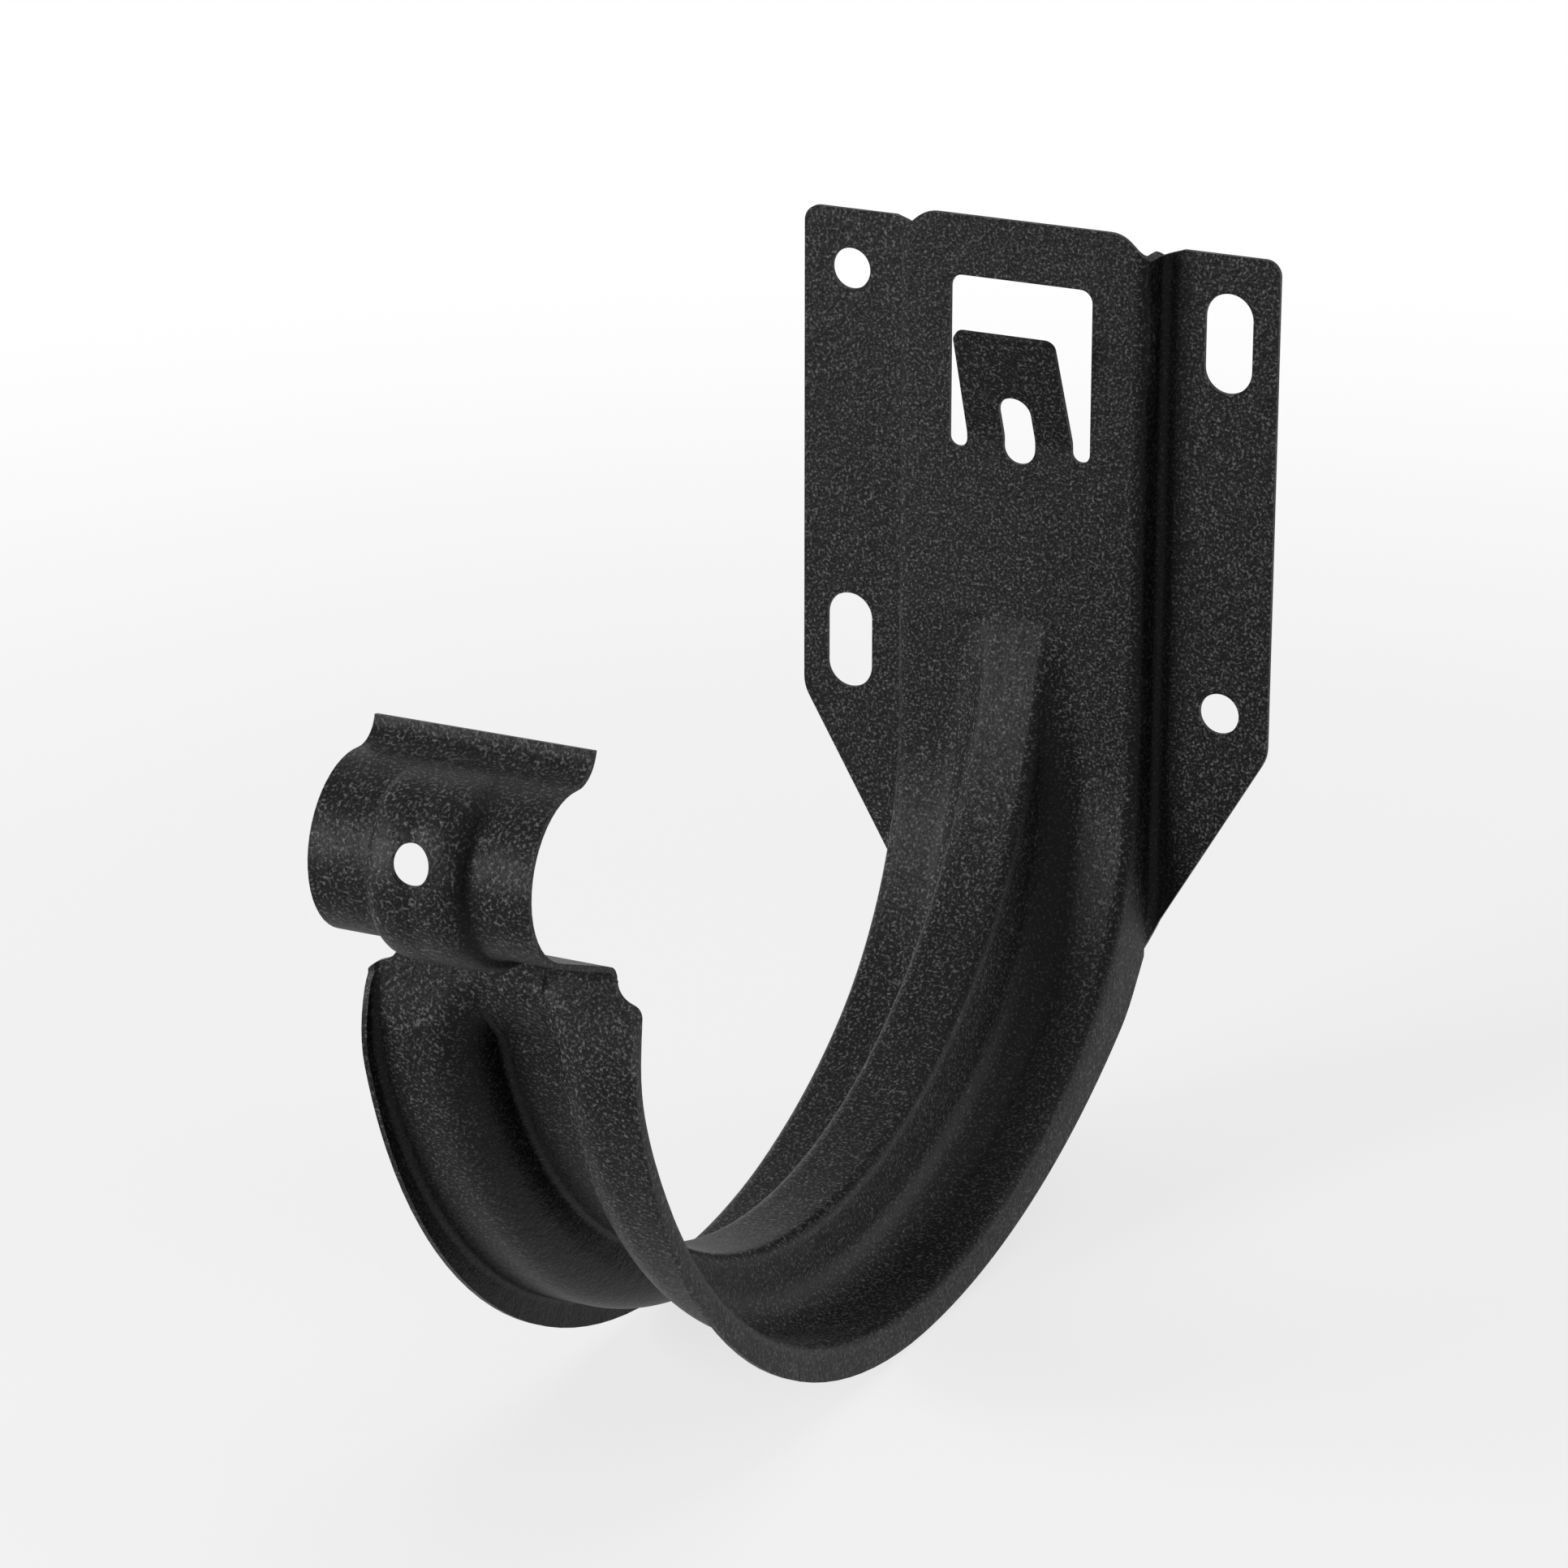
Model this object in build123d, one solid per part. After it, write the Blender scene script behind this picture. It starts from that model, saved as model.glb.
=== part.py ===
"""Gutter bracket: one pressed sheet that holds a half-round gutter off a wall or fascia board.

The sheet runs down a joggled wall plate, round a stiffened channel that carries the gutter, and ends
in a curl that hooks over the gutter's bead. The origin is the middle of the screw pattern on the wall
face: X runs along the wall, Y goes into the wall and Z is up. Lengths are in millimetres.
"""
import os
from math import acos, asin, atan, atan2, ceil, cos, degrees, hypot, radians, sin, sqrt, tan

from build123d import *

# Sheet
sheet = 0.65

# Wall plate: wings on the wall, and a panel that stands off between them
plate_width = 62.7
wing_top = 32.45
wing_side_end = -29.8
wing_foot = -55.5
wing_corner = 2.0
chamfer_corner = 5.0
foot_radius = 1.3
panel_face = 5.45
panel_top = 34.8
panel_top_half = 12.9
flank_top = 31.6
panel_corner = 4.0
channel_half = 16.4
crease_radius = 1.5

# Fixing holes in the wings
hole_pitch = 50.0
round_hole = 5.2
slot_width = 6.2
slot_length = 12.4
upper_slot = 21.6
lower_slot = -22.9

# Window and tongue in the panel
window_half = 9.35
window_top = 27.4
window_corner = 1.6
slit_width = 2.45
slit_bottom = 5.85
slit_corner = 1.2
tongue_root = 7.2
tongue_bend_radius = 3.0
tongue_length = 14.5
tongue_lean = 21.0
tongue_taper = 0.3
tongue_corner = 1.3
tongue_slot_width = 4.3
tongue_slot_length = 8.9
tongue_slot_middle = 9.05

# Gutter seat: the crest of the rib follows the gutter's circle
seat_radius = 62.9
seat_sink = 0.6
seat_height = -6.1

# Channel floor under the rib
floor_depth = 9.0
floor_shift_in = 3.3
floor_shift_down = 0.5
heel_radius = 42.2
neck_gap = 2.0
neck_drop = 7.45
neck_lean = 4.8
neck_blend_radius = 20.0
ledge_radius = 2.2

# Rib in the channel
rib_half = 3.1
rib_draft = 9.0
rib_crest_radius = 1.6
rib_foot_radius = 5.0
rib_fade = 10.0
rib_end_gap = 1.5

# Edges of the channel, turned away from the gutter
edge_depth = 4.0
edge_shift_out = 0.9
front_edge_radius = 72.3
rear_edge_radius = 100.0
rear_edge_slope = 51.0
rear_edge_blend = 18.0
edge_turn_height = -29.0
edge_end_height = -18.8
edge_end_depth = 1.0

# Shoulders where the channel narrows to the curl
curl_half = 12.8
shoulder_height = -16.5
shoulder_slope = 20.0
shoulder_radius = 3.2
neck_radius = 2.5

# Curl over the gutter's bead, with its boss
bead_radius = 8.93
bead_out = 74.0
bead_up = 5.7
curl_wrap = 96.0
lip_radius = 3.8
lip_turn = 84.5
boss_half = 3.9
boss_height = 1.6
boss_radius = 1.2
boss_start = 9.0
boss_end = 8.0
bead_hole = 4.4
bead_hole_rise = 2.6

# Spacing of the sections along the sheet
turn_step = 9.0
run_step = 5.0
arc_shares = (0.0, 0.45, 0.9)
flank_shares = (0.5,)
least_bend = 45.0

# Cutting blocks reach this far past the part
beyond = 200.0

# Places that follow from the sizes above. A facing is the angle in the Y-Z plane that the sheet's
# gutter side looks along: 180 on the panel, 90 at the bottom of the channel, 0 at its front.
seat_centre = Vector(seat_sink - panel_face - seat_radius, seat_height)
rib_top = seat_height - sqrt(seat_radius ** 2 - (seat_radius - seat_sink) ** 2)
floor_centre = seat_centre + Vector(floor_shift_in, -floor_shift_down)
floor_radius = seat_radius + floor_depth
bead_centre = seat_centre + Vector(-bead_out, bead_up)
ledge_corner = seat_centre - Vector(seat_radius + neck_gap, neck_drop)
flank_end = -(sheet + foot_radius)
wing_slope = (wing_side_end - wing_foot) / (plate_width / 2 - channel_half)
foot_top = wing_foot + wing_slope * foot_radius
foot_run = radians(90) * (foot_radius + sheet / 2)
edge_start = Vector(flank_end, foot_top - wing_slope * foot_run)


def facing(angle):
    """Unit vector of the Y-Z plane at an angle in degrees."""
    return Vector(cos(radians(angle)), sin(radians(angle)))


def angle_of(vector):
    """Angle in degrees of a vector of the Y-Z plane."""
    return degrees(atan2(vector.Y, vector.X))


def bend(centre, radius, start, end):
    """Stations round an arc; the radius is negative where the gutter side faces away from the centre."""
    steps = max(2, ceil(abs(end - start) / turn_step))
    angles = [start + (end - start) * i / steps for i in range(steps + 1)]
    return [(centre - facing(angle) * radius, angle) for angle in angles]


def run(start, end, angle):
    """Stations along a straight stretch."""
    steps = max(1, ceil((end - start).length / run_step))
    return [(start + (end - start) * (i / steps), angle) for i in range(steps + 1)]


def join(*stretches):
    """One list of stations from stretches that share their end stations."""
    stations = list(stretches[0])
    for stretch in stretches[1:]:
        stations += stretch[1:]
    return stations


def blend_centre(point, along, inward, centre, radius, blend):
    """Centre of an arc that touches a line on its inward side, and a circle from inside."""
    offset = point + inward * blend - centre
    ahead = offset.dot(along)
    step = sqrt(ahead ** 2 - offset.dot(offset) + (radius - blend) ** 2) - ahead
    return centre + offset + along * step


def channel_stations():
    """Stations from the rib's top round the heel and the channel floor, and up to the ledge's bend."""
    heel_y = -panel_face - heel_radius
    reach = floor_radius - heel_radius
    heel_drop = sqrt(reach ** 2 - (heel_y - floor_centre.X) ** 2)
    heel_centre = Vector(heel_y, floor_centre.Y - heel_drop)
    heel_end = angle_of(floor_centre - heel_centre)
    neck = facing(-neck_lean)
    neck_centre = blend_centre(
        ledge_corner, facing(-90 - neck_lean), neck, floor_centre, floor_radius, neck_blend_radius)
    neck_start = angle_of(floor_centre - neck_centre)
    return join(
        run(Vector(-panel_face, rib_top), Vector(-panel_face, heel_centre.Y), 180),
        bend(heel_centre, heel_radius, 180, heel_end),
        bend(floor_centre, floor_radius, heel_end, neck_start),
        bend(neck_centre, neck_blend_radius, neck_start, -neck_lean),
        run(neck_centre - neck * neck_blend_radius, ledge_start(), -neck_lean),
    )


def ledge_facing():
    """Facing of the ledge, which runs from its corner to touch the curl from below."""
    to_bead = bead_centre - ledge_corner
    return angle_of(to_bead) + degrees(asin(bead_radius / to_bead.length)) - 90


def ledge_start():
    """Where the neck ends and the bend to the ledge starts."""
    tangent = ledge_radius * tan(radians((ledge_facing() + neck_lean) / 2))
    return ledge_corner - facing(90 - neck_lean) * tangent


def curl_stations():
    """Stations round the ledge's bend, along the ledge, round the curl and up its lip."""
    ledge = ledge_facing()
    bend_centre = ledge_start() - facing(-neck_lean) * ledge_radius
    ledge_end = bead_centre - facing(ledge) * bead_radius
    curl_end = bead_centre - facing(-curl_wrap) * bead_radius
    lip_centre = curl_end - facing(-curl_wrap) * lip_radius
    around = bend(bend_centre, -ledge_radius, -neck_lean, ledge)
    return (
        around,
        run(around[-1][0], ledge_end, ledge),
        bend(bead_centre, bead_radius, ledge, -curl_wrap),
        bend(lip_centre, -lip_radius, -curl_wrap, lip_turn - curl_wrap),
    )


def travel(stations):
    """Distance gone at each station."""
    gone = [0.0]
    for (here, _), (there, _) in zip(stations, stations[1:]):
        gone.append(gone[-1] + (there - here).length)
    return gone


def ease(share):
    """Smooth step from 0 to 1."""
    share = min(max(share, 0.0), 1.0)
    return share * share * (3 - 2 * share)


def rib_heights(stations):
    """Height of the rib at each station: how far the gutter's circle stands off the channel floor."""
    gone = travel(stations)
    heights = []
    for (point, angle), distance in zip(stations, gone):
        away = point - seat_centre
        toward = away.dot(facing(angle))
        height = -toward - sqrt(toward ** 2 - away.dot(away) + seat_radius ** 2)
        heights.append(max(height, 0) * ease((gone[-1] - rib_end_gap - distance) / rib_fade))
    return heights


def swell(height, half, crest_radius, foot_radius, draft):
    """Points and normals of one side of a raised strip, from its foot in to its crest.

    Two arcs meet in a flank: each turns by the same angle, and the crest is the sum of their rises and
    the flank's. A strip too low for arcs of the least bend is such a pair of arcs pressed flatter.
    """
    radii = crest_radius + foot_radius
    turn = degrees(acos(max(1 - abs(height) / radii, -1)))
    turn = min(max(turn, least_bend), 90 - draft)
    low = radii * (1 - cos(radians(turn)))
    flank = max(abs(height) - low, 0) / sin(radians(turn))
    press = min(abs(height) / low, 1) * (1 if height >= 0 else -1)
    foot = half + radii * sin(radians(turn)) + flank * cos(radians(turn))
    crest = max(abs(height), low)
    angles = [radians(turn * share) for share in arc_shares]
    down = [(foot - foot_radius * sin(a), foot_radius * (1 - cos(a)), a) for a in angles]
    up = [(half + crest_radius * sin(a), crest - crest_radius * (1 - cos(a)), a) for a in reversed(angles)]
    (start, low_end, a), (end, high_end, _) = down[-1], up[0]
    between = [(start + (end - start) * share, low_end + (high_end - low_end) * share, radians(turn))
               for share in flank_shares]
    points = []
    for x, v, a in down + between + up:
        slope = atan(press * tan(a))
        points.append((x, press * v, sin(slope), cos(slope)))
    return points


def across(height, edge, half, crest_radius, foot_radius, draft):
    """Points and normals right across the sheet's gutter side, from +X to -X."""
    right = swell(height, half, crest_radius, foot_radius, draft)
    foot = right[0][0]
    right = [(edge, 0, 0, 1), ((edge + foot) / 2, 0, 0, 1)] + right
    left = [(-x, v, -nx, nv) for x, v, nx, nv in reversed(right)]
    return right + [(0, right[-1][1], 0, 1)] + left


def shares_along(points):
    """Share of the whole length gone at each point."""
    gone = [0.0]
    for here, there in zip(points, points[1:]):
        gone.append(gone[-1] + hypot(there[0] - here[0], there[1] - here[1]))
    return [distance / gone[-1] for distance in gone]


def faces_of(points, shares):
    """The two faces of the sheet across a section, as curves a sheet's thickness apart."""
    gutter_side = [(x, v) for x, v, _, _ in points]
    wall_side = [(x - sheet * nx, v - sheet * nv) for x, v, nx, nv in points]
    ends = [(-1, 0), (-1, 0)]
    return (Edge.make_spline(gutter_side, tangents=ends, parameters=shares),
            Edge.make_spline(wall_side, tangents=ends, parameters=shares))


def section_plane(station):
    """Plane square to the sheet at a station: local X is X, local Y faces the gutter side."""
    point, angle = station
    along = facing(angle + 90)
    return Plane(origin=(0, point.X, point.Y), x_dir=(1, 0, 0), z_dir=(0, along.X, along.Y))


def crease(side, radius):
    """One crease of a section, from its floor end round to its flank end."""
    floor_half = channel_half - crease_radius
    turned = sin(radians(45))
    points = [(floor_half, radius), (floor_half + radius * turned, radius * turned), (floor_half + radius, 0)]
    return Edge.make_spline(
        [(side * x, v - crease_radius) for x, v in points], tangents=[(side, 0), (0, -1)])


def hat(near, far, reach):
    """Thin hat section: a floor between two creases, with edges turned away from the gutter."""
    inner = crease_radius - sheet
    wall_half = channel_half - sheet
    return make_face([
        Line((channel_half, -reach), (channel_half, -crease_radius)),
        crease(1, crease_radius),
        near,
        crease(-1, crease_radius),
        Line((-channel_half, -crease_radius), (-channel_half, -reach)),
        Line((-channel_half, -reach), (-wall_half, -reach)),
        Line((-wall_half, -reach), (-wall_half, -crease_radius)),
        crease(-1, inner),
        far,
        crease(1, inner),
        Line((wall_half, -crease_radius), (wall_half, -reach)),
        Line((wall_half, -reach), (channel_half, -reach)),
    ])


def channel_section(station, height, shares):
    """Hat section of the channel, with the rib in its floor."""
    points = across(height, channel_half - crease_radius, rib_half, rib_crest_radius, rib_foot_radius, rib_draft)
    return section_plane(station) * hat(*faces_of(points, shares), 4 * edge_depth)


def curl_section(station, height, shares):
    """Thin strip section of the curl, with the boss bulging away from the bead."""
    points = across(height, curl_half, boss_half, boss_radius, boss_radius, rib_draft)
    near, far = faces_of(points, shares)
    outline = [
        near,
        Line((-curl_half, 0), (-curl_half, -sheet)),
        far,
        Line((curl_half, -sheet), (curl_half, 0)),
    ]
    return section_plane(station) * make_face(outline)


def block(outline, plane):
    """A block through the whole part with a closed outline as its section."""
    return extrude(plane * outline, beyond, both=True)


def edge_outline():
    """Side view of what the channel keeps: all that lies inside the line of its turned-out edges."""
    lowest = floor_centre - Vector(edge_shift_out, floor_radius + edge_depth)
    front_centre = lowest + Vector(0, front_edge_radius)
    rear_centre = lowest + Vector(0, rear_edge_radius)
    inward = facing(rear_edge_slope + 90)
    blend = blend_centre(
        edge_start, facing(rear_edge_slope - 180), inward, rear_centre, rear_edge_radius, rear_edge_blend)
    blend_end = angle_of(blend - rear_centre)
    turn = degrees(asin((front_centre.Y - edge_turn_height) / front_edge_radius)) - 180
    neck_out = ledge_corner - facing(-neck_lean) * edge_end_depth
    lean = tan(radians(neck_lean))
    neck_foot = neck_out + Vector(lean, 1) * (edge_end_height - neck_out.Y)
    neck_head = neck_out - Vector(lean, 1) * neck_out.Y
    return make_face([
        Line((flank_end, 0), edge_start),
        Line(edge_start, blend - inward * rear_edge_blend),
        CenterArc(blend, rear_edge_blend, rear_edge_slope - 90, blend_end - rear_edge_slope + 90),
        CenterArc(rear_centre, rear_edge_radius, blend_end, -90 - blend_end),
        CenterArc(front_centre, front_edge_radius, -90, turn + 90),
        TangentArc(front_centre + facing(turn) * front_edge_radius, neck_foot, tangent=facing(turn - 90)),
        Line(neck_foot, neck_head),
        Line(neck_head, (flank_end, 0)),
    ])


def shoulder_outline():
    """Front view of what is cut away beside the neck."""
    reach = channel_half + sheet - curl_half
    drop = reach * tan(radians(shoulder_slope))
    shape = make_face(Polyline(
        (curl_half, beyond), (curl_half, shoulder_height), (curl_half + reach, shoulder_height - drop),
        (curl_half + reach, shoulder_height - 2 * shoulder_radius - drop),
        (beyond, shoulder_height - 2 * shoulder_radius - drop), (beyond, beyond), close=True))
    neck = shape.vertices().sort_by_distance((curl_half, shoulder_height))[0]
    shape = fillet(neck, neck_radius)
    shoulder = shape.vertices().sort_by_distance((curl_half + reach, shoulder_height - drop))[0]
    slant = hypot(reach, drop)
    room = slant / tan(radians(90 - shoulder_slope) / 2) - neck_radius - sheet
    return fillet(shoulder, min(shoulder_radius, room))


def channel():
    """The channel, lofted along the floor and trimmed to its edge line and shoulders."""
    stations = channel_stations()
    typical = across(
        floor_depth / 2, channel_half - crease_radius, rib_half, rib_crest_radius, rib_foot_radius, rib_draft)
    shares = shares_along(typical)
    sections = [channel_section(station, height, shares)
                for station, height in zip(stations, rib_heights(stations))]
    shape = loft(sections) & block(edge_outline(), Plane.YZ)
    cut = extrude(Plane.XZ.offset(-floor_centre.X) * shoulder_outline(), beyond)
    return shape - cut - mirror(cut, Plane.YZ)


def curl():
    """The ledge, the curl with its boss and screw hole, and the lip."""
    stretches = curl_stations()
    stations = join(*stretches)
    gone = travel(stations)
    boss_first = travel(stretches[0])[-1]
    boss_last = travel(join(*stretches[:3]))[-1]
    typical = across(-boss_height, curl_half, boss_half, boss_radius, boss_radius, rib_draft)
    shares = shares_along(typical)
    sections = []
    for station, distance in zip(stations, gone):
        swelling = ease((distance - boss_first) / boss_start) * ease((boss_last - distance) / boss_end)
        sections.append(curl_section(station, -boss_height * swelling, shares))
    hole = Plane((0, bead_centre.X, bead_centre.Y + bead_hole_rise), z_dir=(0, -1, 0))
    return loft(sections) - extrude(hole * Circle(bead_hole / 2), beyond)


def panel_section():
    """Hat section of the panel, at the top of the channel."""
    floor_half = channel_half - crease_radius
    near, far = [Line((floor_half, v), (-floor_half, v)) for v in (0, -sheet)]
    return section_plane((Vector(-panel_face, rib_top), 180)) * hat(near, far, panel_face + flank_end)


def wing_section():
    """Section of one wing, with the bend at its foot."""
    foot = (channel_half + foot_radius, flank_end)
    edge = plate_width / 2
    return make_face([
        Line((channel_half - sheet, flank_end), (channel_half, flank_end)),
        CenterArc(foot, foot_radius, 180, -90),
        Line((foot[0], -sheet), (edge, -sheet)),
        Line((edge, -sheet), (edge, 0)),
        Line((edge, 0), (foot[0], 0)),
        CenterArc(foot, foot_radius + sheet, 90, 90),
    ])


def plate_outline():
    """Front view of the plate: panel and wings, with the holes, the window and the tongue's slits."""
    half = plate_width / 2
    right = [(panel_top_half, panel_top), (channel_half, flank_top), (channel_half + 2 * foot_radius, wing_top),
             (half, wing_top), (half, wing_side_end), (channel_half + foot_radius, foot_top),
             (channel_half - sheet, edge_start.Y)]
    left = [(-x, z) for x, z in reversed(right)]
    shape = make_face(Polyline(*right, *left, close=True))
    radii = {panel_top: panel_corner, wing_side_end: chamfer_corner}
    for height, radius in radii.items():
        shape = fillet([v for v in shape.vertices() if abs(v.Y - height) < 0.01], radius)
    tips = [v for v in shape.vertices() if abs(v.Y - wing_top) < 0.01 and abs(v.X) > half - 0.01]
    return fillet(tips, wing_corner)


def window_outline():
    """Front view of the window and of the slits beside the tongue's root."""
    inner = window_half - slit_width
    right = [(inner, tongue_root), (inner, slit_bottom), (window_half, slit_bottom), (window_half, window_top)]
    left = [(-x, z) for x, z in reversed(right)]
    shape = make_face(Polyline(*right, *left, close=True))
    for height, radius in ((window_top, window_corner), (slit_bottom, slit_corner)):
        shape = fillet([v for v in shape.vertices() if abs(v.Y - height) < 0.01], radius)
    return shape


def tongue():
    """The tongue: a bend at its root, and a flat end that leans toward the gutter."""
    root_half = window_half - slit_width
    centre = Vector(-panel_face - tongue_bend_radius, tongue_root)
    lean = facing(tongue_lean)
    outer_radius = tongue_bend_radius + sheet
    root = make_face([
        CenterArc(centre, tongue_bend_radius, 0, tongue_lean),
        Line(centre + lean * tongue_bend_radius, centre + lean * outer_radius),
        CenterArc(centre, outer_radius, 0, tongue_lean),
        Line(centre + Vector(outer_radius, 0), centre + Vector(tongue_bend_radius, 0)),
    ])
    start = centre + lean * tongue_bend_radius
    flat = Plane((0, start.X, start.Y), x_dir=(1, 0, 0), z_dir=(0, -lean.X, -lean.Y))
    tip_half = root_half - tongue_taper
    shape = make_face(Polyline(
        (-root_half, 0), (root_half, 0), (tip_half, tongue_length), (-tip_half, tongue_length), close=True))
    shape = fillet([v for v in shape.vertices() if v.Y > tongue_length / 2], tongue_corner)
    return extrude(Plane.YZ * root, root_half, both=True) + extrude(flat * shape, -sheet)


def plate():
    """Panel and wings with everything cut through them, and the tongue."""
    middle = extrude(panel_section(), rib_top - panel_top)
    right = extrude(Plane.XY.offset(panel_top) * wing_section(), 2 * edge_start.Y)
    shape = middle + right + mirror(right, Plane.YZ)
    shape = shape & block(plate_outline(), Plane.XZ)
    shape = shape - block(window_outline(), Plane.XZ) + tongue()
    pitch = hole_pitch / 2
    slot = SlotOverall(slot_length, slot_width, rotation=90)
    cuts = [
        Pos(-pitch, pitch) * Circle(round_hole / 2),
        Pos(pitch, -pitch) * Circle(round_hole / 2),
        Pos(pitch, upper_slot) * slot,
        Pos(-pitch, lower_slot) * slot,
        Pos(0, tongue_slot_middle) * SlotOverall(tongue_slot_length, tongue_slot_width, rotation=90),
    ]
    return shape - [block(cut, Plane.XZ) for cut in cuts]


if __name__ == "__main__":
    os.makedirs("parts", exist_ok=True)
    bracket = plate() + channel() + curl()
    export_step(bracket, "parts/gutter_bracket.step")
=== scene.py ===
"""Looks of the gutter bracket: one smooth sheet with a black powder coat, on a pale floor in soft light."""
from collections import namedtuple
from math import cos, hypot, radians, sin

import bmesh
import bpy
import numpy as np
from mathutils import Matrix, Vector
from mathutils.geometry import delaunay_2d_cdt


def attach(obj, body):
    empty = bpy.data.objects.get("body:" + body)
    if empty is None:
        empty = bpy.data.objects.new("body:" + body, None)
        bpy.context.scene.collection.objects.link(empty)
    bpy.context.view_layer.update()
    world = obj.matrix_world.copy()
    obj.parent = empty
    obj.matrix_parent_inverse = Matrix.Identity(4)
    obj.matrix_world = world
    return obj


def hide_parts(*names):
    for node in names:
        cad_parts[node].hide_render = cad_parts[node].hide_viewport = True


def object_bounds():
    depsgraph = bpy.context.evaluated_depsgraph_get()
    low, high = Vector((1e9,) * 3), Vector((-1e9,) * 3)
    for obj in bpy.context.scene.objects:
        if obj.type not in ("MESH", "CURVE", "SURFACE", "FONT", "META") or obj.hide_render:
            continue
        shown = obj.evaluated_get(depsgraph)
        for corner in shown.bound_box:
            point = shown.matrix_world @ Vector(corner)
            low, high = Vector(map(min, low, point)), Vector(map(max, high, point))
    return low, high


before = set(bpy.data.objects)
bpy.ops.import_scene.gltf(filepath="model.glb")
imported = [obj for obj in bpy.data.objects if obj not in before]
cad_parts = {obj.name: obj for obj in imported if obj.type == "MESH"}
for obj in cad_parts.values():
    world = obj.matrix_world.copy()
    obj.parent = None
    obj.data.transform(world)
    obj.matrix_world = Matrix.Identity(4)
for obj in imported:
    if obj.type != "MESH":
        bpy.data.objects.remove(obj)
cad_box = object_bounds()

# Camera, fitted to the photograph
CAMERA_PLACE = (0.28070, -0.62930, 0.20994)
CAMERA_ELEVATION = 19.8269
CAMERA_AZIMUTH = 26.6066
FOCAL_LENGTH = 135.07
SENSOR_WIDTH = 36.0
CLIP_START = 0.01

# Base line of the channel in the Y-Z plane, with the facings in degrees at the ends of each arc
Arc = namedtuple("Arc", "y z radius first last")
SHEET = 0.00065
PANEL_FACE = -0.00545
HEEL = Arc(-0.04765, -0.0310918, 0.0422, 180.0, 124.448)
BOTTOM = Arc(-0.06445, -0.0066, 0.0719, 124.448, 19.2915)
NECK = Arc(-0.113436, -0.0237464, 0.020, 19.2915, -4.8)
NECK_END = np.array((-0.132787, -0.015185))
ARCS = (NECK, BOTTOM, HEEL)

# Rib along the channel, whose crest follows the gutter's circle
SEAT_CENTRE = np.array((-0.06775, -0.0061))
SEAT_RADIUS = 0.0629
RIB_TOP = -0.014767
RIB_HALF = 0.0031
RIB_CREST_RADIUS = 0.0016
RIB_FOOT_RADIUS = 0.0050
RIB_LEAST_TURN = radians(45)
RIB_MOST_TURN = radians(81)
RIB_FADE = 0.010
RIB_END_GAP = 0.0015

# Strip of the channel that is laid anew, between the creases of the turned edges
CREASE_START = 0.0149
END_LEFT = 0.0024
RIB_SLACK = 0.0025
BAND = 0.0003
LENGTH_STEPS = 164
BEND_STEPS = 40
FLAT_STEPS = 4
DOUBLE_GAP = 1e-6
FLAT_GAP = 1e-9
SHARP_ANGLE = radians(32)

# Noises in the coat: size in metres, detail and roughness
GRAIN = (0.00036, 2.0, 0.6)
RELIEF = (0.00055, 2.0, 0.6)
PEEL = (0.0022, 1.0, 0.5)
DRIFT = (0.018, 2.0, 0.5)
NOISE_MIDDLE = 0.5

# Powder coat
COAT_DARK = (0.0020, 0.0020, 0.0021)
# Colour of the light specks: painted glints of the coat's grain, put into the base colour
COAT_PAINTED_GLINT = (0.190, 0.190, 0.194)
COAT_ROUGHNESS = 0.46
COAT_DRIFT = 0.10
COAT_GLOSS = 0.12
# Grain noise between these two values makes the specks, which raise the bump and carry the painted glints in
# the colour
GLINT_SPECK_START = 0.48
GLINT_SPECK_FULL = 0.84
RELIEF_SHARE = 0.7
SPECK_SHARE = 0.3
PEEL_SHARE = 0.8
BUMP_STRENGTH = 0.7
BUMP_HEIGHT = 0.00018

# Pale floor
FLOOR_DROP = 0.0005
FLOOR_REACH = 6.0
FLOOR_WHITE = 0.95
FLOOR_BOUNCE = 0.15
FLOOR_ROUGHNESS = 0.95
FLOOR_GLOW = 0.74
FLOOR_NEAR = 0.12
FLOOR_FAR = 0.45

# Surroundings
WHITE = (1.0, 1.0, 1.0, 1.0)
WORLD_STRENGTH = 0.08

# Square lamps: place, side and power
LAMPS = {
    "front": ((-0.80, -1.00, 0.20), 0.6, 17),
    "top": ((0.10, 0.30, 1.10), 1.0, 3.5),
    "rim": ((0.95, 0.60, 0.10), 0.7, 6),
}
LAMP_AIM = Vector((0, -0.07, -0.01))


class Socket:
    """One output of a shader node; sums and products of it add Math nodes to its tree."""

    def __init__(self, tree, made, output=0):
        self.tree = tree
        self.output = made.outputs[output]

    def maths(self, operation, *values, clamp=False):
        """Output of a new Math node on Sockets and numbers."""
        settings = {"operation": operation, "use_clamp": clamp}
        return Socket(self.tree, node(self.tree, "ShaderNodeMath", settings, dict(enumerate(values))))

    def __add__(self, other):
        return self.maths("ADD", self, other)

    def __radd__(self, other):
        return self.maths("ADD", other, self)

    def __sub__(self, other):
        return self.maths("SUBTRACT", self, other)

    def __rsub__(self, other):
        return self.maths("SUBTRACT", other, self)

    def __mul__(self, other):
        return self.maths("MULTIPLY", self, other)

    def __rmul__(self, other):
        return self.maths("MULTIPLY", other, self)

    def between(self, low, high):
        """0 below low, 1 above high, with a smooth rise between them."""
        share = self.maths("DIVIDE", self - low, high - low, clamp=True)
        return share * share * (3 - 2 * share)


def node(tree, kind, settings, inputs):
    """Add a node: its settings first, then the values or links of its inputs, by name or number."""
    made = tree.nodes.new(kind)
    for name, value in settings.items():
        setattr(made, name, value)
    for key, value in inputs.items():
        if isinstance(value, Socket):
            tree.links.new(value.output, made.inputs[key])
        else:
            made.inputs[key].default_value = value
    return made


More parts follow.
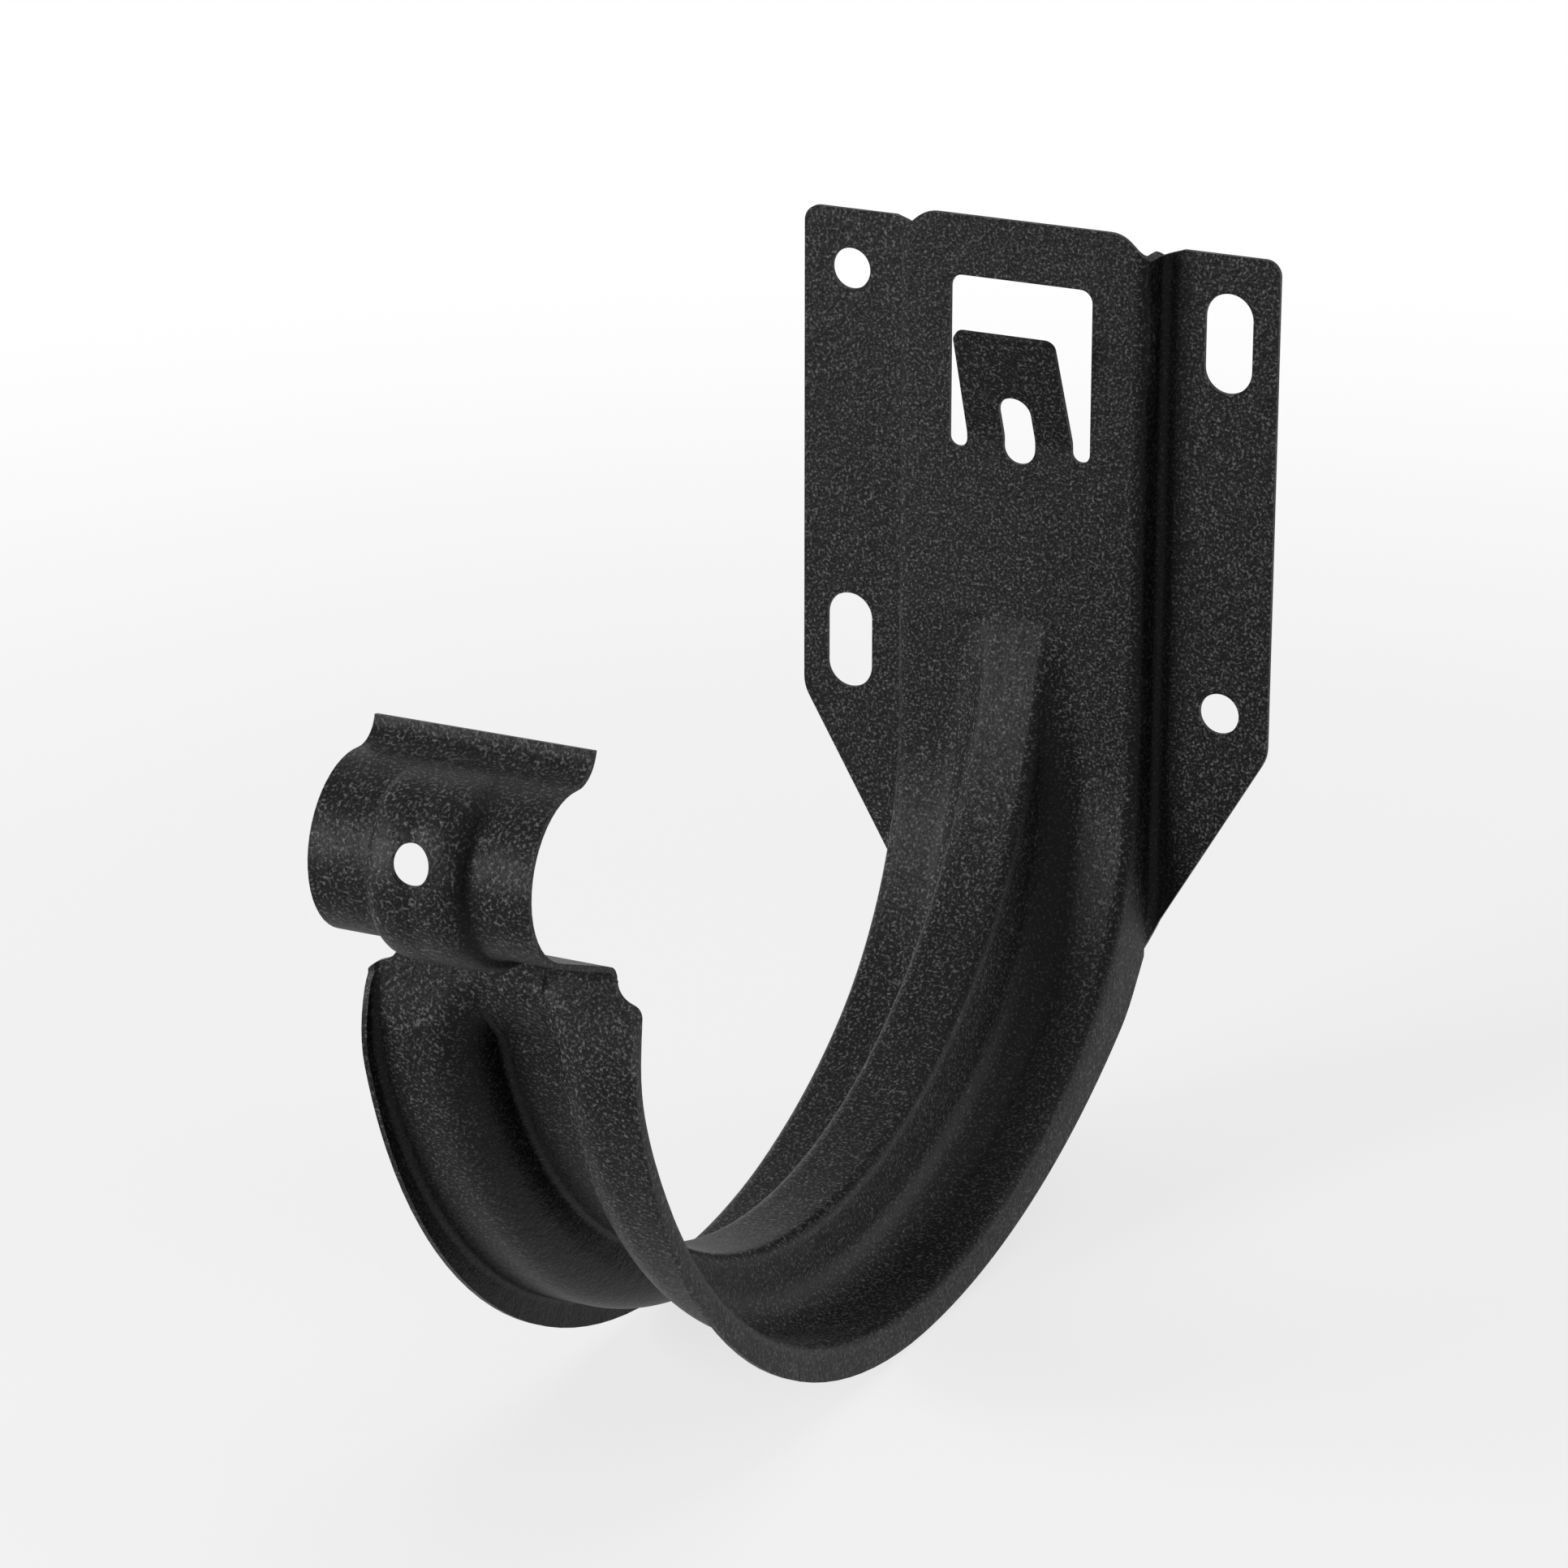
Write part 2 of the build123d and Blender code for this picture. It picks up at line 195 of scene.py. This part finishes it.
def mix_colour(tree, share, first, second):
    """Colour between two plain colours, which a Mix node takes at inputs 6 and 7 and gives at output 2."""
    inputs = {0: share, 6: (*first, 1.0), 7: (*second, 1.0)}
    return Socket(tree, node(tree, "ShaderNodeMix", {"data_type": "RGBA"}, inputs), 2)


def object_place(tree):
    """Object coordinates."""
    return Socket(tree, node(tree, "ShaderNodeTexCoord", {}, {}), "Object")


def noise(tree, place, size, detail, roughness):
    """Noise with features of a given size."""
    inputs = {"Vector": place, "Scale": 1 / size, "Detail": detail, "Roughness": roughness}
    return Socket(tree, node(tree, "ShaderNodeTexNoise", {}, inputs), "Fac")


def seen_white(tree):
    """1 for the rays that show the surroundings: straight to the camera, mirrored or refracted."""
    path = node(tree, "ShaderNodeLightPath", {}, {})
    names = ("Is Camera Ray", "Is Glossy Ray", "Is Transmission Ray")
    straight, mirrored, through = [Socket(tree, path, name) for name in names]
    shown = straight.maths("MAXIMUM", straight, mirrored)
    return shown.maths("MAXIMUM", shown, through)


def empty_tree(owner):
    """Node tree of a material or a world, with no node in it."""
    owner.use_nodes = True
    owner.node_tree.nodes.clear()
    return owner.node_tree


def add_object(name, data):
    """A new object in the scene."""
    made = bpy.data.objects.new(name, data)
    bpy.context.collection.objects.link(made)
    return made


def facing_at(degrees):
    """Unit vector in the Y-Z plane that looks along an angle."""
    return np.array((cos(radians(degrees)), sin(radians(degrees))))


def arc_length(arc):
    """Radius of an arc times the angle between its facings."""
    return arc.radius * radians(arc.first - arc.last)


def neck_line():
    """Start of the neck's straight stretch, the way along it, and its length."""
    facing = facing_at(NECK.last)
    start = np.array((NECK.y, NECK.z)) - facing * NECK.radius
    return start, np.array((-facing[1], facing[0])), hypot(*(NECK_END - start))


def rib_top_left():
    """Length left from the rib's top to the neck's end: the arcs, and a straight stretch at each end."""
    straight = neck_line()[2] + RIB_TOP - HEEL.z
    return sum(arc_length(arc) for arc in ARCS) + straight


def base_line(left):
    """Points of the channel's base line and its facings there, by the length left to the neck's end.

    The line runs straight down the panel, round the heel, the bottom and the neck's arc, and straight on to
    the neck's end. A facing is constant on a straight stretch, and turns by length over radius in an arc.
    """
    start, along, passed = neck_line()
    facing = facing_at(NECK.last)[:, None] + np.zeros_like(left)
    place = start[:, None] + along[:, None] * (passed - left)
    for arc in ARCS:
        angle = radians(arc.last) + (left - passed) / arc.radius
        turned = np.stack((np.cos(angle), np.sin(angle)))
        facing = np.where(left > passed, turned, facing)
        place = np.where(left > passed, np.array((arc.y, arc.z))[:, None] - arc.radius * turned, place)
        passed += arc_length(arc)
    facing = np.where(left > passed, facing_at(HEEL.first)[:, None], facing)
    panel = np.stack((np.full_like(left, PANEL_FACE), HEEL.z + left - passed))
    return np.where(left > passed, panel, place), facing


def channel_place(y, z):
    """For points: the length left to the neck's end, and the height over the base line, or 1 outside it.

    Round an arc the height is the radius less the distance to its centre.
    """
    start, along, passed = neck_line()
    ahead_y, ahead_z = y - start[0], z - start[1]
    gone = along[0] * ahead_y + along[1] * ahead_z
    taken = (gone >= 0) & (y < NECK.y)
    left = np.where(taken, passed - gone, 0.0)
    height = np.where(taken, along[1] * ahead_y - along[0] * ahead_z, 1.0)
    for arc in ARCS:
        angle = np.arctan2(arc.z - z, arc.y - y)
        here = (angle <= radians(arc.first)) & (angle > radians(arc.last)) & ~taken
        left = np.where(here, passed + arc.radius * (angle - radians(arc.last)), left)
        height = np.where(here, arc.radius - np.hypot(arc.y - y, arc.z - z), height)
        passed += arc_length(arc)
        taken |= here
    panel = (z > HEEL.z) & (y > HEEL.y)
    return np.where(panel, passed + z - HEEL.z, left), np.where(panel, PANEL_FACE - y, height)


def rib_height(left):
    """Height of the rib: square to the base line up to the gutter's circle, easing to 0 at the neck."""
    place, facing = base_line(left)
    away = place - SEAT_CENTRE[:, None]
    toward = (away * facing).sum(0)
    root = np.maximum(toward ** 2 - (away ** 2).sum(0) + SEAT_RADIUS ** 2, 0)
    share = np.clip((left - RIB_END_GAP) / RIB_FADE, 0, 1)
    return np.maximum(-toward - np.sqrt(root), 0) * share ** 2 * (3 - 2 * share)


def rib_section(height, depth):
    """Half sections of a face of the sheet, a row for each height: distances from the middle, and heights.

    The crest is flat, then an arc bends down to a slanted flank, and a second arc levels out at its foot.
    Both turn by one angle, so a length along them gives the place. A low rib keeps the least angle and is
    pressed flatter. A face at a depth in the sheet has the same centres, and radii that differ by the depth.
    """
    radii = RIB_CREST_RADIUS + RIB_FOOT_RADIUS
    height = height[:, None]
    turn = np.clip(np.arccos(np.clip(1 - height / radii, -1, 1)), RIB_LEAST_TURN, RIB_MOST_TURN)
    low = radii * (1 - np.cos(turn))
    crest = np.maximum(height, low)
    flank = (crest - low) / np.sin(turn)
    over, under = RIB_CREST_RADIUS - depth, RIB_FOOT_RADIUS + depth
    length = (radii * turn + flank) * np.linspace(0, 1, BEND_STEPS + 1)
    bend = np.clip(length / over, 0, turn)
    slope = np.clip(length - over * turn, 0, flank)
    rise = turn - np.clip((length - over * turn - flank) / under, 0, turn)
    across = RIB_HALF + over * np.sin(bend) + slope * np.cos(turn) + under * (np.sin(turn) - np.sin(rise))
    drop = over * (1 - np.cos(bend)) + slope * np.sin(turn) + under * (np.cos(rise) - np.cos(turn))
    flat = np.linspace(0, RIB_HALF, FLAT_STEPS, endpoint=False) + 0 * turn
    foot = across[:, -1:]
    level = foot + (CREASE_START - BAND - foot) * np.linspace(0, 1, FLAT_STEPS + 1)[1:]
    raised = np.concatenate((crest + 0 * flat, crest - drop, 0 * level), axis=1)
    return np.concatenate((flat, across, level), axis=1), raised * np.minimum(height / low, 1) - depth


def channel_face(left, depth):
    """Grid of points over one face of the channel: each row is the section set square on the base line."""
    place, facing = base_line(left)
    across, height = rib_section(rib_height(left), depth)
    across = np.concatenate((-across[:, :0:-1], across), axis=1)
    height = np.concatenate((height[:, :0:-1], height), axis=1)
    y = place[0][:, None] + facing[0][:, None] * height
    z = place[1][:, None] + facing[1][:, None] * height
    return np.stack((across, y, z), axis=-1)


def grid_faces(rows, columns):
    """Two triangles for each cell of a grid, with a normal of row way cross column way."""
    index = np.arange(rows * columns).reshape(rows, columns)
    near, far = index[:-1], index[1:]
    first = np.stack((near[:, :-1], far[:, :-1], far[:, 1:]), axis=-1)
    second = np.stack((near[:, :-1], far[:, 1:], near[:, 1:]), axis=-1)
    return np.concatenate((first.reshape(-1, 3), second.reshape(-1, 3)))


def band_faces(rim, rim_edges, grid, rows):
    """Triangles between a grid and the rim round it; both are given by length and distance across.

    The rim and the grid's outline are triangulated together, and the triangles inside the grid left out.
    The points of the rim come first in the numbering, and the grid's after them.
    """
    index = np.arange(len(grid)).reshape(rows, -1)
    outline = np.concatenate((index[0], index[1:, -1], index[-1, -2::-1], index[-2:0:-1, 0]))
    inner = len(rim) + np.arange(len(outline))
    edges = np.concatenate((rim_edges, np.stack((inner, np.roll(inner, -1)), axis=1)))
    spots = [Vector(spot) for spot in np.concatenate((rim, grid[outline]))]
    spots, _, faces, origin, _, _ = delaunay_2d_cdt(spots, edges.tolist(), [], 0, FLAT_GAP)
    faces = np.array(faces)
    low, high = grid.min(0), grid.max(0)
    middle = np.array([tuple(spot) for spot in spots])[faces].mean(1)
    faces = faces[((middle < low) | (middle > high)).any(1)]
    names = np.concatenate((np.arange(len(rim)), len(rim) + outline))
    return names[np.array([found[0] for found in origin])[faces]]


def cut_triangles(original):
    """Points and triangles of a solid's mesh, merged, and cut where the strip begins and ends."""
    start, along, length = neck_line()
    end = start + along * (length - END_LEFT)
    shell = bmesh.new()
    shell.from_mesh(original.data)
    bmesh.ops.remove_doubles(shell, verts=shell.verts, dist=DOUBLE_GAP)
    planes = [((side * CREASE_START, 0, 0), (1, 0, 0)) for side in (-1, 1)]
    planes += [((0, 0, RIB_TOP), (0, 0, 1)), ((0, *end), (0, *along))]
    for place, normal in planes:
        everything = shell.verts[:] + shell.edges[:] + shell.faces[:]
        bmesh.ops.bisect_plane(shell, geom=everything, dist=DOUBLE_GAP, plane_co=place, plane_no=normal)
    bmesh.ops.triangulate(shell, faces=shell.faces)
    mesh = bpy.data.meshes.new("cut")
    shell.to_mesh(mesh)
    shell.free()
    points = np.empty(3 * len(mesh.vertices))
    mesh.vertices.foreach_get("co", points)
    corners = np.empty(3 * len(mesh.polygons), dtype=int)
    mesh.loops.foreach_get("vertex_index", corners)
    bpy.data.meshes.remove(mesh)
    return points.reshape(-1, 3), corners.reshape(-1, 3)


def strip_triangles(points, corners, top_left):
    """Which triangles are the strip's: their middles lie between its edges and ends, near the sheet."""
    middle = points[corners].mean(1)
    left, height = channel_place(middle[:, 1], middle[:, 2])
    between = (np.abs(middle[:, 0]) < CREASE_START) & (left > END_LEFT) & (left < top_left)
    return between & (height > -SHEET - RIB_SLACK) & (height < rib_height(left) + RIB_SLACK)


def open_edges(triangles):
    """Edges that only one of the triangles has, each as a pair of points."""
    sides = np.concatenate([triangles[:, pair] for pair in ((0, 1), (1, 2), (2, 0))])
    edges, uses = np.unique(np.sort(sides, axis=1), axis=0, return_counts=True)
    return edges[uses == 1]


def flat_places(points, top_left):
    """Places of points in the strip rolled out flat, and their heights over the base line.

    A place is the length left, with a minus, and the distance across. A point at a cut lies exactly on it.
    """
    left, height = channel_place(points[:, 1], points[:, 2])
    across = points[:, 0].copy()
    for values, limits in ((left, (END_LEFT, top_left)), (across, (-CREASE_START, CREASE_START))):
        for limit in limits:
            values[np.abs(values - limit) < DOUBLE_GAP] = limit
    return np.stack((-left, across), axis=1), height


def strip_face(depth, rows, flat, rim_edges, count):
    """Points of one new face of the strip, and its triangles: a grid, and a band from there to the rim.

    Its points are numbered on from the count of those before them.
    """
    face = channel_face(rows, depth)
    length = np.broadcast_to(-rows[:, None], face.shape[:2])
    grid = np.stack((length, face[..., 0]), axis=-1).reshape(-1, 2)
    rim, rim_edges = np.unique(rim_edges, return_inverse=True)
    band = band_faces(flat[rim], rim_edges.reshape(-1, 2), grid, len(rows))
    names = np.concatenate((rim, count + np.arange(len(grid))))
    faces = np.concatenate((names[band], count + grid_faces(len(rows), face.shape[1])))
    return face.reshape(-1, 3), faces


def fair_bracket(original):
    """The pressed sheet as one closed shell: the solid's mesh, with both faces of the strip laid anew.

    The back's triangles are turned round, so that they look away from the gutter.
    """
    points, corners = cut_triangles(original)
    top_left = rib_top_left()
    strip = strip_triangles(points, corners, top_left)
    rim_edges = open_edges(corners[strip])
    flat, height = flat_places(points, top_left)
    in_front = height[rim_edges].mean(1) > -SHEET / 2
    rows = np.linspace(top_left - BAND, END_LEFT + BAND, LENGTH_STEPS + 1)
    count = len(points)
    front, front_faces = strip_face(0.0, rows, flat, rim_edges[in_front], count)
    back, back_faces = strip_face(SHEET, rows, flat, rim_edges[~in_front], count + len(front))
    faces = np.concatenate((corners[~strip], front_faces, back_faces[:, ::-1]))
    used, faces = np.unique(faces, return_inverse=True)
    mesh = bpy.data.meshes.new("pressed_sheet")
    mesh.from_pydata(np.concatenate((points, front, back))[used], [], faces.reshape(-1, 3))
    mesh.polygons.foreach_set("use_smooth", np.ones(len(mesh.polygons), dtype=bool))
    mesh.set_sharp_from_angle(angle=SHARP_ANGLE)
    return add_object("pressed_sheet", mesh)


def powder_coat():
    """Matte black coat: specks of its sandy grain raise the bump and are also painted into the near-black
    colour as light glints, over a slight orange peel.
    """
    material = bpy.data.materials.new("powder_coat")
    tree = empty_tree(material)
    place = object_place(tree)
    grain, relief, peel, drift = [noise(tree, place, *sort) for sort in (GRAIN, RELIEF, PEEL, DRIFT)]
    # Specks of the grain: relief in the bump, and painted glints in the base colour
    grain_and_painted_glint = grain.between(GLINT_SPECK_START, GLINT_SPECK_FULL)
    bump = node(tree, "ShaderNodeBump", {}, {
        "Strength": BUMP_STRENGTH,
        "Distance": BUMP_HEIGHT,
        "Height": relief * RELIEF_SHARE + grain_and_painted_glint * SPECK_SHARE + peel * PEEL_SHARE,
    })
    shader = node(tree, "ShaderNodeBsdfPrincipled", {}, {
        "Base Color": mix_colour(tree, grain_and_painted_glint, COAT_DARK, COAT_PAINTED_GLINT),
        "Specular IOR Level": COAT_GLOSS,
        "Roughness": COAT_ROUGHNESS + COAT_DRIFT * (drift - NOISE_MIDDLE),
        "Normal": Socket(tree, bump),
    })
    node(tree, "ShaderNodeOutputMaterial", {}, {"Surface": Socket(tree, shader)})
    return material


def pale_floor():
    """White floor that keeps its shadows, throws little light back up and ends in plain white far off."""
    material = bpy.data.materials.new("pale_floor")
    tree = empty_tree(material)
    seen = seen_white(tree)
    shader = node(tree, "ShaderNodeBsdfPrincipled", {}, {
        "Base Color": mix_colour(tree, seen, (FLOOR_BOUNCE,) * 3, (FLOOR_WHITE,) * 3),
        "Roughness": FLOOR_ROUGHNESS,
        "Specular IOR Level": 0.0,
    })
    glow = node(tree, "ShaderNodeEmission", {}, {"Color": WHITE, "Strength": 1.0})
    distance = node(tree, "ShaderNodeVectorMath", {"operation": "LENGTH"}, {0: object_place(tree)})
    far = Socket(tree, distance, "Value").between(FLOOR_NEAR, FLOOR_FAR)
    mixed = node(tree, "ShaderNodeMixShader", {}, {
        "Fac": seen * (FLOOR_GLOW + (1 - FLOOR_GLOW) * far),
        1: Socket(tree, shader),
        2: Socket(tree, glow),
    })
    node(tree, "ShaderNodeOutputMaterial", {}, {"Surface": Socket(tree, mixed)})
    return material


def add_floor():
    """A wide square just under the bracket."""
    height = cad_box[0][2] - FLOOR_DROP
    sides = ((-1, -1), (1, -1), (1, 1), (-1, 1))
    mesh = bpy.data.meshes.new("floor")
    mesh.from_pydata([(x * FLOOR_REACH, y * FLOOR_REACH, height) for x, y in sides], [], [(0, 1, 2, 3)])
    mesh.materials.append(pale_floor())
    add_object("floor", mesh)


def add_world():
    """White surroundings: plain white to the camera, dimmer as a light."""
    world = bpy.data.worlds.new("surroundings")
    bpy.context.scene.world = world
    tree = empty_tree(world)
    light = WORLD_STRENGTH + (1 - WORLD_STRENGTH) * seen_white(tree)
    background = node(tree, "ShaderNodeBackground", {}, {"Color": WHITE, "Strength": light})
    node(tree, "ShaderNodeOutputWorld", {}, {"Surface": Socket(tree, background)})


def add_lamps():
    """Soft lamps that face the bracket."""
    for name, (place, side, power) in LAMPS.items():
        data = bpy.data.lights.new(name, "AREA")
        data.shape = "SQUARE"
        data.size = side
        data.energy = power
        lamp = add_object(name, data)
        lamp.location = place
        lamp.rotation_euler = (LAMP_AIM - lamp.location).to_track_quat("-Z", "Y").to_euler()


def add_camera():
    """The camera at the photograph's viewing angle."""
    data = bpy.data.cameras.new("camera")
    data.lens = FOCAL_LENGTH
    data.sensor_width = SENSOR_WIDTH
    data.clip_start = CLIP_START
    camera = add_object("camera", data)
    camera.location = CAMERA_PLACE
    camera.rotation_euler = (radians(90 - CAMERA_ELEVATION), 0, radians(CAMERA_AZIMUTH))
    bpy.context.scene.camera = camera


def main():
    """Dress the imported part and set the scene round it."""
    bracket = fair_bracket(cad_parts["gutter_bracket"])
    bracket.data.materials.append(powder_coat())
    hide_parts("gutter_bracket")
    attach(bracket, "root")
    add_floor()
    add_world()
    add_lamps()
    add_camera()
    bpy.context.scene.view_settings.view_transform = "Standard"


main()
